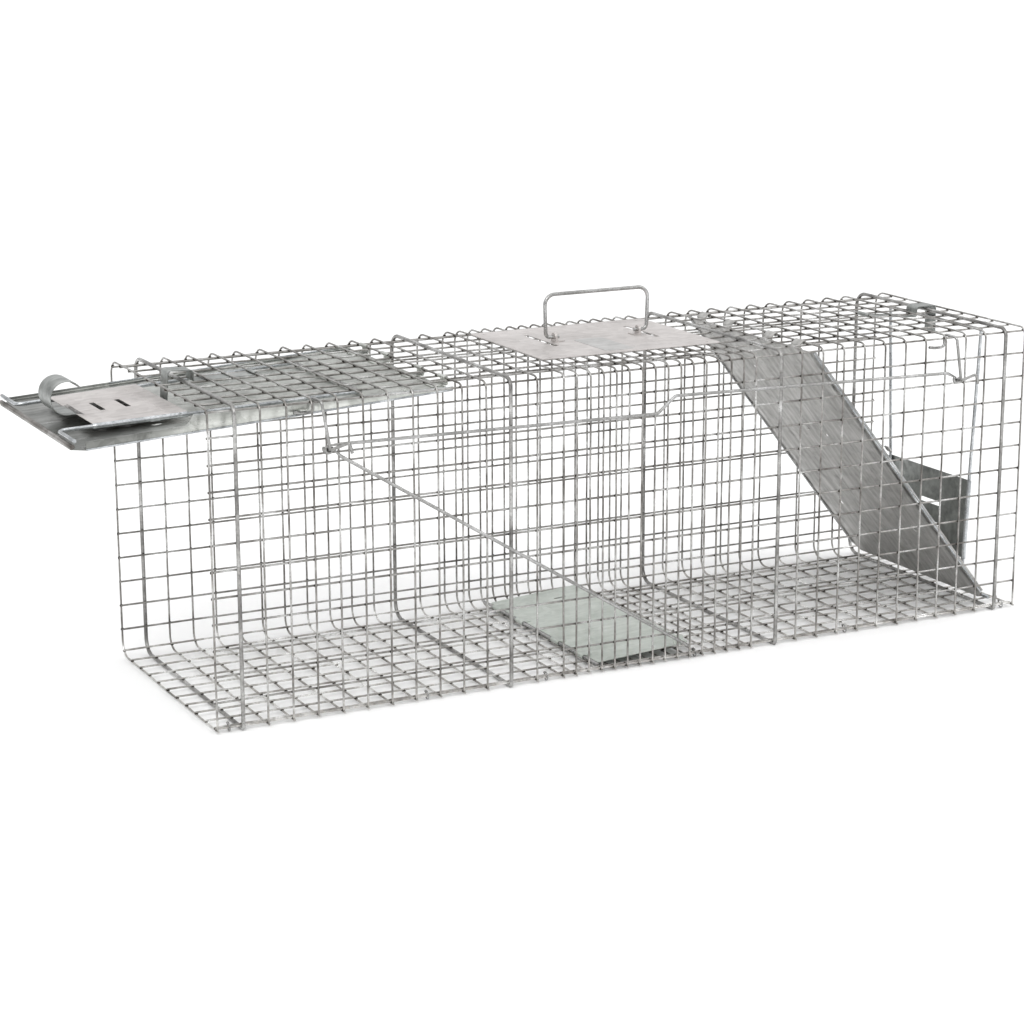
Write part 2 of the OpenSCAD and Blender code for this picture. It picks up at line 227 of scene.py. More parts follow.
def wire_finish(name, dark, mid, light, roughness, foot=1.0):
    """Galvanised wire: dull and bright stretches, smudges and a fine drawn grain.

    The colour is multiplied by foot near the floor: painted light that makes the floor wires lighter when
    foot is over 1.
    """
    mat, tree, bsdf, vector = shader(name, 0.9, roughness)
    patches = noise_tex(tree, vector, 34, 5, 0.62)
    colour = ramp(tree, patches, [(0.32, dark), (0.5, mid), (0.68, light)])
    specks = ramp(tree, noise_tex(tree, vector, 420, 2, 0.6), [(0.3, (0.62,) * 3), (0.55, (1.0,) * 3)])
    colour = mix(tree, 0.8, colour, specks, "MULTIPLY")
    # Painted light: the colour is multiplied by foot below 8 mm, fading out by 20 mm.
    colour = mix(tree, 1.0, colour, fade(tree, vector, "Z", 0.008, 0.02, foot, 1.0), "MULTIPLY")
    tree.links.new(colour, bsdf.inputs["Base Color"])
    rough = ramp(tree, patches, [(0.3, (roughness + 0.16,) * 3), (0.7, (roughness - 0.08,) * 3)])
    tree.links.new(rough, bsdf.inputs["Roughness"])
    bump(tree, bsdf, noise_tex(tree, vector, 700, 2, 0.5), 0.35, 0.0002)
    return mat


def zinc_sheet(name, dark, mid, light, roughness, slope=0.0, streak=0.75, stain=0.35, outer_shadow=1.0):
    """Galvanised sheet: large faint spangles, streaks along one direction, and stains.

    Beyond the cage's left end the colour is multiplied by the last argument: a painted shadow on the part
    of a door that reaches past the cage.
    """
    mat, tree, bsdf, vector = shader(name, 0.88, roughness)
    spangle = ramp(tree, voronoi(tree, vector, 130), [(0.1, dark), (0.5, mid), (0.9, light)])
    cloud = ramp(tree, noise_tex(tree, vector, 17, 6, 0.6), [(0.34, dark), (0.52, mid), (0.7, light)])
    base = mix(tree, 0.62, spangle, cloud)
    lines = noise_tex(tree, mapped(tree, vector, (0.09, 0.007, 0.007), slope), 1.0, 5, 0.6)
    drawn = ramp(tree, lines, [(0.36, (0.66,) * 3), (0.6, (1.05,) * 3)])
    base = mix(tree, streak, base, drawn, "MULTIPLY")
    marks = ramp(tree, noise_tex(tree, vector, 55, 8, 0.72), [(0.36, (0.4,) * 3), (0.47, (1.0,) * 3)])
    base = mix(tree, stain, base, marks, "MULTIPLY")
    # Painted shadow: darker beyond X = -0.52 m, fading out by X = -0.44 m.
    base = mix(tree, 1.0, base, fade(tree, vector, "X", -0.52, -0.44, outer_shadow, 1.0), "MULTIPLY")
    tree.links.new(base, bsdf.inputs["Base Color"])
    rough = ramp(tree, lines, [(0.3, (roughness + 0.13,) * 3), (0.7, (roughness - 0.1,) * 3)])
    tree.links.new(rough, bsdf.inputs["Roughness"])
    bump(tree, bsdf, noise_tex(tree, vector, 26, 3, 0.5), 0.25, 0.0016)
    return mat


RIGHT_SLOPE = math.radians(OPEN_TILT + DOOR_SWING)
# Painted light: the mesh wire is 1.6 times lighter on the floor wires.
MESH_WIRE = wire_finish(
    "mesh_wire", (0.15, 0.14, 0.13), (0.33, 0.32, 0.305), (0.62, 0.62, 0.61), 0.3, 1.6)
RING_WIRE = wire_finish(
    "ring_wire", (0.16, 0.155, 0.15), (0.33, 0.325, 0.315), (0.56, 0.56, 0.55), 0.28)
ROD_WIRE = wire_finish(
    "rod_wire", (0.27, 0.268, 0.26), (0.38, 0.378, 0.37), (0.54, 0.54, 0.54), 0.22)
WELD_MARK = wire_finish(
    "weld_mark", (0.02, 0.016, 0.012), (0.06, 0.052, 0.044), (0.2, 0.19, 0.17), 0.5)
# A lighter copy of the wire finish: a painted highlight along rolled edges and folds, and on the lock bail
# legs.
PAINTED_HIGHLIGHT = wire_finish(
    "painted_highlight", (0.3, 0.315, 0.325), (0.48, 0.5, 0.515), (0.74, 0.765, 0.785), 0.2)
# A darker copy of the wire finish: painted shade on the door hems.
PAINTED_SHADE_EDGE = wire_finish(
    "painted_shade_edge", (0.12, 0.11, 0.1), (0.24, 0.225, 0.21), (0.42, 0.41, 0.4), 0.36)
# The two doors are one zinc sheet in two copies. The left door's lighter copy is a painted reflection of
# the bright light overhead, which it catches lying nearly flat.
LIT_LEFT_SHEET = zinc_sheet(
    "left_door_sheet", (0.4, 0.41, 0.385), (0.61, 0.625, 0.59), (0.78, 0.79, 0.76),
    # The last value, 0.42, paints a shadow on the part of the left door that reaches past the cage.
    0.32, 0.0, 0.45, 0.5, 0.42)
# The right door's darker copy is painted shade on the door standing open.
SHADED_RIGHT_SHEET = zinc_sheet(
    "right_door_sheet", (0.33, 0.325, 0.31), (0.44, 0.435, 0.42), (0.56, 0.555, 0.54),
    0.42, RIGHT_SLOPE, 0.5)
WARM_SHEET = zinc_sheet(
    "warm_sheet", (0.49, 0.465, 0.45), (0.61, 0.58, 0.565), (0.72, 0.69, 0.675),
    0.46, 0.0, 0.2, 0.15)
PAN_SHEET = zinc_sheet(
    "pan_sheet", (0.51, 0.55, 0.505), (0.61, 0.65, 0.605), (0.71, 0.74, 0.7),
    0.44, 0.0, 0.15, 0.15)
PANEL_SHEET = zinc_sheet(
    "panel_sheet", (0.44, 0.44, 0.43), (0.54, 0.535, 0.525), (0.64, 0.635, 0.625),
    0.42, 0.0, 0.2, 0.2)
# A darker copy of the zinc sheet. On the right lock plate and on both finger curls it is painted shade; the
# latch straps are drawn in it too.
DARK_SHEET = zinc_sheet(
    "dark_sheet", (0.2, 0.21, 0.2), (0.33, 0.345, 0.335), (0.5, 0.515, 0.5), 0.38, 0.0, 0.4)


# ---- Making pieces ----

def place(name, mesh, body, material, slot, replaced=(), matrix=Matrix.Identity(4)):
    """Turns a mesh in millimetres into a piece in metres that rides on a body."""
    mesh.transform(Matrix.Scale(MM, 4) @ matrix)
    if matrix.determinant() < 0:
        mesh.flip_normals()
    mesh.materials.clear()
    mesh.materials.append(material)
    for polygon in mesh.polygons:
        polygon.use_smooth = True
    mesh.set_sharp_from_angle(angle=math.radians(38))
    obj = bpy.data.objects.new(name, mesh)
    bpy.context.scene.collection.objects.link(obj)
    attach(obj, body)
    if replaced:
        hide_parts(*replaced)
    return obj


def solid_mesh(obj):
    """The evaluated mesh of a helper object, which is then removed."""
    bpy.context.scene.collection.objects.link(obj)
    graph = bpy.context.evaluated_depsgraph_get()
    mesh = bpy.data.meshes.new_from_object(obj.evaluated_get(graph), depsgraph=graph)
    data = obj.data
    bpy.data.objects.remove(obj)
    if isinstance(data, bpy.types.Curve):
        bpy.data.curves.remove(data)
    else:
        bpy.data.meshes.remove(data)
    return mesh


def tube_mesh(paths, radius, closed=False, rounds=3):
    """Round wires along lists of points."""
    curve = bpy.data.curves.new("wire", "CURVE")
    curve.dimensions = "3D"
    curve.bevel_depth = radius
    curve.bevel_resolution = rounds
    curve.use_fill_caps = True
    for path in paths:
        spline = curve.splines.new("POLY")
        spline.points.add(len(path) - 1)
        for point, at in zip(spline.points, path):
            point.co = (*at, 1)
        spline.use_cyclic_u = closed
    return solid_mesh(bpy.data.objects.new("wire", curve))


def rounded(points, bends, steps=6):
    """A path with its inner corners turned into arcs; bends is one radius or one for each corner."""
    points = [Vector(p) for p in points]
    if not isinstance(bends, (list, tuple)):
        bends = [bends] * (len(points) - 2)
    path = [points[0]]
    for before, corner, after, bend in zip(points, points[1:], points[2:], bends):
        into = (corner - before).normalized()
        out = (after - corner).normalized()
        turn = into.angle(out)
        if turn < 0.01:
            path.append(corner)
            continue
        cut = min(bend * math.tan(turn / 2), (corner - before).length / 2, (after - corner).length / 2)
        radius = cut / math.tan(turn / 2)
        inward = (out - into * into.dot(out)).normalized()
        centre = corner - into * cut + inward * radius
        for k in range(steps + 1):
            a = turn * k / steps
            path.append(centre + (into * math.sin(a) - inward * math.cos(a)) * radius)
    path.append(points[-1])
    return path


def arc(centre, radius, start, end, y=0.0, steps=16):
    """Points round Y in the XZ plane, angles in degrees from +X towards +Z."""
    points = []
    for k in range(steps + 1):
        a = math.radians(start + (end - start) * k / steps)
        points.append(Vector((centre[0] + radius * math.cos(a), y, centre[1] + radius * math.sin(a))))
    return points


def divided(points, longest):
    """The same path with no stretch longer than the given length."""
    path = [points[0]]
    for a, b in zip(points, points[1:]):
        count = max(1, math.ceil((b - a).length / longest))
        path += [a.lerp(b, k / count) for k in range(1, count + 1)]
    return path


def wavy(path, amount, seed, length=60.0):
    """Bends a path very slightly, as hand-welded wire is; seed picks another part of the noise.

    The noise itself has no fixed start, so the bends differ by up to about 0.5 mm between runs.
    """
    shift = Vector((seed * 7.13, seed * 3.7, seed * 1.9))
    return [p + noise.noise_vector(p / length + shift) * amount for p in path]


def grid_mesh(rows, thickness, edge=0.25):
    """A sheet through rows of points, thickened about its middle, with softened edges."""
    mesh = bpy.data.meshes.new("sheet")
    width = len(rows[0])
    faces = []
    for i in range(len(rows) - 1):
        for j in range(width - 1):
            a = i * width + j
            faces.append((a, a + 1, a + width + 1, a + width))
    mesh.from_pydata([p for row in rows for p in row], [], faces)
    obj = bpy.data.objects.new("sheet", mesh)
    thick = obj.modifiers.new("thick", "SOLIDIFY")
    thick.thickness = thickness
    thick.offset = 0
    thick.use_even_offset = True
    soft = obj.modifiers.new("soft", "BEVEL")
    soft.width = edge
    soft.segments = 2
    soft.limit_method = "ANGLE"
    soft.angle_limit = math.radians(50)
    return solid_mesh(obj)


def ribbon_mesh(path, half_width, thickness, middle=0.0, across=4):
    """A strip that follows a path in XZ.

    half_width is a number, or a function of the share of the path's length.
    """
    lengths = [0.0]
    for a, b in zip(path, path[1:]):
        lengths.append(lengths[-1] + (b - a).length)
    rows = []
    for at, point in zip(lengths, path):
        half = half_width(at / lengths[-1]) if callable(half_width) else half_width
        spots = [middle + half * (2 * j / across - 1) for j in range(across + 1)]
        rows.append([point + Vector((0, y, 0)) for y in spots])
    return grid_mesh(rows, thickness)


def flat_mesh(outline, holes, thickness, edge=0.2):
    """A flat sheet in XY about z = 0, with holes."""
    curve = bpy.data.curves.new("flat", "CURVE")
    curve.dimensions = "2D"
    curve.fill_mode = "BOTH"
    curve.extrude = thickness / 2 - edge
    curve.bevel_depth = edge
    curve.bevel_resolution = 1
    curve.offset = -edge
    for loop in [outline, *holes]:
        spline = curve.splines.new("POLY")
        spline.points.add(len(loop) - 1)
        for point, at in zip(spline.points, loop):
            point.co = (at[0], at[1], 0, 1)
        spline.use_cyclic_u = True
    return solid_mesh(bpy.data.objects.new("flat", curve))


def round_hole(x, y, radius, stretch=1.0, count=20):
    """A closed outline in XY, longer in X where stretch is over 1."""
    turns = [2 * math.pi * k / count for k in range(count)]
    return [(x + stretch * radius * math.cos(a), y + radius * math.sin(a)) for a in turns]


def slot_hole(x, y, length_x, length_y, corner=0.8):
    return round_corners([
        (x - length_x / 2, y - length_y / 2), (x + length_x / 2, y - length_y / 2),
        (x + length_x / 2, y + length_y / 2), (x - length_x / 2, y + length_y / 2)
    ], corner)


def round_corners(outline, radius, steps=4):
    """A closed outline in XY with its corners rounded."""
    count = len(outline)
    loop = []
    for i in range(count):
        three = [Vector((*outline[(i + k) % count], 0)) for k in (-1, 0, 1)]
        loop += [(p.x, p.y) for p in rounded(three, radius, steps)[1:-1]]
    return loop


def joined(meshes):
    """One mesh out of several."""
    whole = bmesh.new()
    for mesh in meshes:
        whole.from_mesh(mesh)
        bpy.data.meshes.remove(mesh)
    result = bpy.data.meshes.new("joined")
    whole.to_mesh(result)
    whole.free()
    return result


def moved(mesh, matrix):
    mesh.transform(matrix)
    return mesh


def end_matrix(side, x, z, tilt, y=0.0):
    """Places a part drawn for the left end; the right end is its mirror image."""
    flip = Matrix.Diagonal((-1, 1, 1, 1)) if side == "right" else Matrix.Identity(4)
    return flip @ Matrix.Translation((x, y, z)) @ Matrix.Rotation(math.radians(-tilt), 4, "Y")


# ---- Cage ----

def cross_loop(x, y, low, high, near_bend, far_bend, near_bottom):
    """One wire round the cage: up the near side, over the top, down the far side and back."""
    if near_bottom:
        corners = [(x, -y, (low + high) / 2), (x, -y, high), (x, y, high), (x, y, low), (x, -y, low)]
        closed = rounded([*corners, corners[0]], [near_bend, far_bend, far_bend, TIGHT_BEND], 8)
        return closed[:-1]
    corners = [(x, -y, low + 1.4), (x, -y, high), (x, y, high), (x, y, low), (x, -y - 2, low)]
    return rounded(corners, [near_bend, far_bend, far_bend], 8)


def rail_places():
    """Y and Z of every lengthwise wire."""
    near = NEAR_BEND - 2.05
    far = FAR_BEND - 2.05
    turn = math.sqrt(0.5)
    places = [(-RAIL_Y, RAIL_LOW_Z + k * RAIL_STEP_Z) for k in range(12)]
    places.append((NEAR_BEND - WALL_Y - near * turn, TOP_Z - NEAR_BEND + near * turn))
    places += [((k - 5) * RAIL_STEP_Y, RAIL_TOP_Z) for k in range(1, 10)]
    places.append((WALL_Y - FAR_BEND + far * turn, TOP_Z - FAR_BEND + far * turn))
    places += [(RAIL_Y, RAIL_LOW_Z + k * RAIL_STEP_Z) for k in range(1, 12)]
    places.append((WALL_Y - FAR_BEND + far * turn, FLOOR_Z + FAR_BEND - far * turn))
    places += [((k - 5) * RAIL_STEP_Y, RAIL_LOW_Z + 0.05) for k in range(1, 10)]
    places.append((4.5 - 134, RAIL_LOW_Z + 0.05))
    return places


def thin_places():
    return THIN_WIRES + MIDDLE_WIRES + [36 - i for i in THIN_WIRES]


def make_mesh_wires():
    loops = []
    for count, inches in enumerate(thin_places()):
        path = cross_loop(along(inches), WALL_Y, FLOOR_Z, TOP_Z, NEAR_BEND, FAR_BEND, False)
        loops.append(wavy(divided(path, 30), 0.0 if inches in STRAIGHT_WIRES else 0.35, count))
    replaced = [
        "top_mesh", "near_wall_mesh", "far_wall_mesh", "floor_mesh", "near_top_bend", "far_top_bend",
        "far_bottom_bend", "left_hinge_wire", "right_hinge_wire", "left_latch_wire", "right_latch_wire"
    ]
    place("mesh_cross_wires", tube_mesh(loops, WIRE_R), "cage", MESH_WIRE, "galvanised_wire", replaced)
    rails = []
    for count, (y, z) in enumerate(rail_places()):
        ends = [Vector((-END_X - WIRE_R, y, z)), Vector((END_X + WIRE_R, y, z))]
        rails.append(wavy(divided(ends, 28), 0.3, 100 + count))
    place("mesh_lengthwise_wires", tube_mesh(rails, WIRE_R), "cage", MESH_WIRE, "galvanised_wire")


def make_rings():
    for number, inches in enumerate(RINGS, 1):
        loop = cross_loop(
            along(inches), RAIL_Y + WIRE_R + RING_R, RING_R, RAIL_TOP_Z + WIRE_R + RING_R,
            NEAR_BEND + 1, FAR_BEND + 1, True)
        name = f"ring_wire_{number}"
        place(name + "_round", tube_mesh([loop], RING_R, True, 4), "cage", RING_WIRE, "ring_wire", [name])


def make_weld_marks():
    """A small squeezed bead wherever a cross wire is welded to a lengthwise one."""
    random.seed(4)
    bead = bmesh.new()
    bmesh.ops.create_icosphere(bead, subdivisions=1, radius=1.0)
    shape = [v.co.copy() for v in bead.verts]
    faces = [[v.index for v in f.verts] for f in bead.faces]
    bead.free()
    points, beads = [], []
    for inches in [*thin_places(), *RINGS]:
        for y, z in rail_places():
            size = random.uniform(1.15, 1.55)
            outward = Vector((0, y / 130 if abs(abs(y) - RAIL_Y) < 8 else 0, 1 if z > 150 else -1))
            if abs(abs(y) - RAIL_Y) < 8 and 20 < z < 295:
                outward.z = 0
            centre = Vector((along(inches), y, z)) + outward.normalized() * 0.9
            first = len(points)
            points += [centre + Vector((p.x * 1.4, p.y * 1.05, p.z * 1.1)) * size for p in shape]
            beads += [[first + i for i in f] for f in faces]
    mesh = bpy.data.meshes.new("weld_marks")
    mesh.from_pydata(points, [], beads)
    place("weld_marks", mesh, "cage", WELD_MARK, "galvanised_wire")


def make_edge_ties():
    """Hog rings: open rings whose ends pass each other."""
    rings = []
    for inches in HOG_RINGS:
        ring = []
        for k in range(29):
            turn = math.radians(40 + k * 13.2)
            ring.append(Vector((
                along(inches) + (k / 28 - 0.5) * 1.7,
                2.2 - 134 + 4.1 * math.cos(turn),
                RAIL_LOW_Z + 0.1 + 4.1 * math.sin(turn))))
        rings.append(ring)
    place("hog_rings", tube_mesh(rings, 0.7), "cage", ROD_WIRE, "rod_wire", ["edge_ties"])


# ---- Handle ----

def make_handle():
    low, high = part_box("handle_plate")
    x0, x1, y0, y1 = (v / MM for v in (low[0], high[0], low[1], high[1]))
    z = (low[2] + high[2]) / 2 / MM
    pin = joint_at("handle_fold")
    outline = round_corners([(x0, y0), (x1, y0), (x1, y1), (x0, y1)], 4)
    slots = [slot_hole(pin.x + way * HANDLE_HALF, 24.5, 5, 71, 2.2) for way in (-1, 1)]
    studs = [round_hole(x, y, 1.8) for x in (x0 + 12, x1 - 12) for y in (y0 + 9, y1 - 9)]
    plate = moved(flat_mesh(outline, slots + studs, SHEET_T), Matrix.Translation((0, 0, z)))
    place("handle_plate_sheet", plate, "cage", WARM_SHEET, "warm_sheet", ["handle_plate"])
    # A blank raised panel in the middle of the plate
    left, right = (along(inches) for inches in PANEL_INCHES)
    panel = round_corners([(left, -59), (right, -59), (right, 12), (left, 12)], 3)
    raised = moved(flat_mesh(panel, [], 0.5), Matrix.Translation((0, 0, z + 0.6)))
    place("handle_plate_panel", raised, "cage", PANEL_SHEET, "warm_sheet")
    foot, top = HANDLE_HALF, HANDLE_HALF + 1.5
    path = rounded([
        (15 - foot, 0, 0), (-foot, 0, 0), (-top, 0, HANDLE_H),
        (top, 0, HANDLE_H), (foot, 0, 0), (foot - 15, 0, 0)
    ], [5, 11, 11, 5], 8)
    handle = moved(tube_mesh([path], RING_R, False, 4), Matrix.Translation(pin))
    place("handle_wire", handle, "carry_handle", ROD_WIRE, "rod_wire", ["carry_handle"])
    frame["nodes"]["handle_lugs"].data.materials[0] = WARM_SHEET


# ---- Doors ----

TALL_FLANGE = [(-3, -4.4), (-262, 9.2), (-266, 3.5), (-270, 0), (6 - DOOR_LEN, 0), (12 - DOOR_LEN, -5)]
LOW_FLANGE = [(-3, -4.4), (6 - DOOR_LEN, -4), (12 - DOOR_LEN, -5)]


def flange_top(x, stops):
    """Height of a side flange's top edge at a distance out from the hinge."""
    for (xa, za), (xb, zb) in zip(stops, stops[1:]):
        if xb <= x <= xa:
            return za + (zb - za) * (xa - x) / (xa - xb)
    return stops[-1][1]


def flange_meshes(way, stops):
    """A side flange with its folded foot, and the rolled edge along its top."""
    y = DOOR_HALF - SHEET_T / 2
    stations = [-3 - 8.63 * k for k in range(31)]
    stations += [-264, -266, -268, -270]
    stations += [-278 - 8.6 * k for k in range(11)]
    rows, edge = [], []
    for x in sorted(stations, reverse=True):
        top = flange_top(x, stops)
        foot = -DOOR_DROP
        rows.append(rounded([(x, way * y, top), (x, way * y, foot), (x, way * (y - 9), foot)], 2.2, 5))
        if x > -263:
            edge.append(Vector((x, way * (y - 0.4), top - 0.7)))
    return grid_mesh(rows, SHEET_T), tube_mesh([edge], 1.0)


def door_outline():
    half = DOOR_HALF - 3
    return [
        (-3, -half), (-3, half), (12 - DOOR_LEN, half), (12 - DOOR_LEN, half + 2),
        (-DOOR_LEN + 1, half - 9), (-DOOR_LEN + 1, 9 - half),
        (12 - DOOR_LEN, -half - 2), (12 - DOOR_LEN, -half)
    ]


def make_door(side):
    body = side + "_door"
    # Each door takes its copy: painted reflection on the left, painted shade on the right.
    sheet = LIT_LEFT_SHEET if side == "left" else SHADED_RIGHT_SHEET
    slot = side + "_door_sheet"
    tilt = OPEN_TILT if side == "left" else OPEN_TILT + DOOR_SWING
    hinge = joint_at(side + "_door_hinge")
    matrix = end_matrix(side, -abs(hinge.x), hinge.z, tilt)
    holes = [
        round_hole(-40, -93, 2.2), round_hole(-60, 40, 2.2, 1.6),
        round_hole(-150, -18, 2.2), round_hole(-150, 18, 2.2),
        round_hole(-280, 70, 2.4, 2.2), round_hole(-280, -70, 2.4, 2.2)
    ]
    panel = moved(flat_mesh(door_outline(), holes, SHEET_T), Matrix.Translation((0, 0, -DOOR_DROP)))
    place(side + "_door_panel", panel, body, sheet, slot, [body], matrix)
    tall_way = -1 if side == "left" else 1
    for way, word in ((-1, "near"), (1, "far")):
        flange, edge = flange_meshes(way, TALL_FLANGE if way == tall_way else LOW_FLANGE)
        place(f"{side}_door_{word}_flange", flange, body, sheet, slot, (), matrix)
        # The flange's rolled top edge is drawn in the painted highlight.
        place(f"{side}_door_{word}_edge", edge, body, PAINTED_HIGHLIGHT, slot, (), matrix)
    y = DOOR_HALF - SHEET_T / 2
    folds = []
    spots = (-4, -120, -240, 12 - DOOR_LEN)
    for way in (-1, 1):
        folds.append([Vector((x, way * (y + 0.2), -DOOR_DROP + 0.4)) for x in spots])
    # Painted highlight lines along the folds at the flanges' feet.
    place(side + "_door_folds", tube_mesh(folds, 1.0), body, PAINTED_HIGHLIGHT, slot, (), matrix)
    hem_z = 2.2 - DOOR_DROP
    rim = y - 10
    hem = [[Vector((-DOOR_LEN + 2.5, way, hem_z)) for way in (-rim, -rim / 2, 0, rim / 2, rim)]]
    # The hem at the door's end is drawn in painted shade.
    place(side + "_door_hem", tube_mesh(hem, 2.4, False, 4), body, PAINTED_SHADE_EDGE, slot, (), matrix)
    tabs = []
    path = [
        Vector((-16, 0, -DOOR_DROP + SHEET_T)), Vector((-3, 0, -DOOR_DROP + SHEET_T)),
        Vector((1.56, 0, -DOOR_DROP)), Vector((1.56, 0, -1))
    ]
    strip = rounded(path, [1, 2.2], 5) + arc((0, 0), 1.56, 0, 235)
    for k in (-3.5, -1.5, 1.5, 3.5):
        tabs.append(ribbon_mesh(strip, lambda t: 8.0 + 2.5 * max(0.0, 0.35 - t), SHEET_T, k * RAIL_STEP_Y))
    place(side + "_door_tabs", joined(tabs), body, sheet, slot, (), matrix)
    x0, x1 = EAR_X[side] - 4, EAR_X[side] + 4
    ear_outline = round_corners([(x0, -131), (x1, -131), (x1, -122), (x0, -122)], 2)
    ear = moved(flat_mesh(ear_outline, [], 1.2), Matrix.Translation((0, 0, -1.7)))
    place(side + "_door_ear", ear, body, sheet, slot, (), matrix)


# ---- Lock bails ----

def leg_y(t):
    return BAR_Y - (BAR_Y - FOOT_Y) * t / LEG_LEN


def make_lock(side):
    bar = joint_at(side + "_lock_swing")
    matrix = end_matrix(side, -abs(bar.x), bar.z, LEG_TILT[side])
    inner = BAR_Y - 3
    rod = joined([
        tube_mesh([[Vector((0, y, 0)) for y in (-inner, 0, inner)]], BAIL_R, False, 4),
        tube_mesh([[Vector((0, -BAR_Y - 2.5, 0)), Vector((0, BAR_Y + 2.5, 0))]], 0.95)
    ])
    bar_body = side + "_lock_bar"
    place(side + "_lock_top_bar", rod, bar_body, ROD_WIRE, "rod_wire", [bar_body], matrix)
    body = side + "_lock_bail"
    legs = []
    for way in (-1, 1):
        eye = [p + Vector((0, way * BAR_Y, 0)) for p in arc((0, 0), 1.65, 160, 500, 0, 20)]
        legs.append(tube_mesh([eye], 0.55))
        legs.append(tube_mesh([rounded([
            (-1.6, way * BAR_Y, 0), (-LEG_LEN, way * FOOT_Y, 0), (-LEG_LEN, way * FOOT_REACH, 0)
        ], 7, 8)], BAIL_R, False, 4))
        neck = [Vector((-1.7, way * (BAR_Y + reach), 0)) for reach in (-2.4, 2.4)]
        legs.append(tube_mesh([neck], 0.5))
    # The bail legs are drawn in the painted highlight.
    place(side + "_lock_legs", joined(legs), body, PAINTED_HIGHLIGHT, "rod_wire", [body], matrix)
    make_lock_plate(side, body, matrix)


def make_lock_plate(side, body, matrix):
    """The plate across the legs, its two sides rolled round them, and a finger curl on a tongue."""
    # The right plate, standing up, takes the darker sheet as painted shade.
    sheet = WARM_SHEET if side == "left" else DARK_SHEET
    slot = "warm_sheet" if side == "left" else "right_door_sheet"
    z = BAIL_R + 0.05 + PLATE_T / 2
    w0, w1 = leg_y(PLATE_FROM), leg_y(PLATE_TO)
    outline = [(-PLATE_FROM, -w0), (-PLATE_FROM, w0), (-PLATE_TO, w1), (-PLATE_TO, -w1)]
    slots = [slot_hole(-PLATE_FROM - t, 0, 5, 37) for t in (38, 62.6)]
    flat = moved(flat_mesh(outline, slots, PLATE_T), Matrix.Translation((0, 0, z)))
    crease = [[Vector((-PLATE_FROM - 17, y, z + 0.25)) for y in (3 - w0, 0, w0 - 3)]]
    place(
        side + "_lock_plate_sheet", joined([flat, tube_mesh(crease, 0.45)]), body, sheet, slot,
        [side + "_lock_plate"], matrix)
    rolls = []
    for way in (-1, 1):
        rows = []
        for k in range(13):
            t = PLATE_FROM + (PLATE_TO - PLATE_FROM) * k / 12
            row = []
            for j in range(13):
                turn = math.radians(90 - j * 15)
                row.append(Vector((-t, way * (leg_y(t) + z * math.cos(turn)), z * math.sin(turn))))
            rows.append(row)
        rolls.append(grid_mesh(rows, PLATE_T))
    # The rolls round the legs are drawn in the painted highlight.
    place(side + "_lock_plate_rolls", joined(rolls), body, PAINTED_HIGHLIGHT, slot, (), matrix)
    end = -PLATE_TO - TONGUE
    curl = [Vector((6 - PLATE_TO, 0, z)), Vector((end, 0, z))]
    curl += arc((end, z + CURL_R), CURL_R, 268, 30, 0, 30)

    def half(share):
        near = max(0.0, 1 - share / 0.12)
        return CURL_HALF + 9 * near * near

    tab = ribbon_mesh(divided(curl, 3), half, PLATE_T, 0, 10)
    # The curl is drawn in the darker sheet as painted shade.
    place(side + "_finger_curl", tab, body, DARK_SHEET, slot, (), matrix)


# ---- Latches ----

def make_latch(side):
    hinge = joint_at(side + "_latch_hinge")
    tilt = -LATCH_LIFT if side == "left" else 0.0
    matrix = end_matrix(side, -abs(hinge.x), hinge.z, tilt, RAIL_STEP_Y / 2)
    ring = WIRE_R + 0.06 + LATCH_T / 2
    knee_x, toe_x = -2.5 * INCH, -3.5 * INCH
    knee_z, top_z, toe_z = (z - TOP_Z for z in (LATCH_KNEE_Z, LATCH_TOP_Z, LATCH_TOE_Z))
    curl = arc((0, 0), ring, 180, -90, 0, 18)
    run = rounded([
        curl[-1], (knee_x, 0, knee_z), (knee_x, 0, top_z),
        (toe_x, 0, top_z), (toe_x, 0, toe_z), (toe_x - 3.5, 0, toe_z)
    ], [2, 3.4, 3.4, 1.2], 6)
    strap = ribbon_mesh(curl[:-1] + divided(run, 12), LATCH_W / 2, LATCH_T)
    place(side + "_latch_strap", strap, side + "_latch", DARK_SHEET, "rod_wire", [side + "_latch"], matrix)


# ---- Catches, link rod and trip rod ----

def make_catch(side):
    at = joint_at(side + "_catch_pivot")
    x, top = at.x, at.z
    low = top + EYE_DZ
    hanger = rounded([
        (x - 19, -CATCH_INNER_Y, CATCH_FOOT_Z + 1), (x - 12, -CATCH_INNER_Y, CATCH_FOOT_Z),
        (x, -CATCH_INNER_Y, CATCH_FOOT_Z), (x, -CATCH_INNER_Y, top), (x, -ARM_Y, top),
        (x + EYE_DX, -ARM_Y, low), (x + EYE_DX, -LINK_Y + ROD_R + 0.5, low)
    ], [6, 4, 4, 4, 2.6], 6)
    finger = rounded([
        (x + EYE_DX, -ARM_Y, low), (x + EYE_DX + 19, -ARM_Y, low + 5), (x + EYE_DX + 22, -ARM_Y, low - 5)
    ], 3, 6)
    wires = tube_mesh([hanger, finger], CATCH_R, False, 4)
    place(side + "_catch_wire", wires, side + "_catch", ROD_WIRE, "rod_wire", [side + "_catch"])


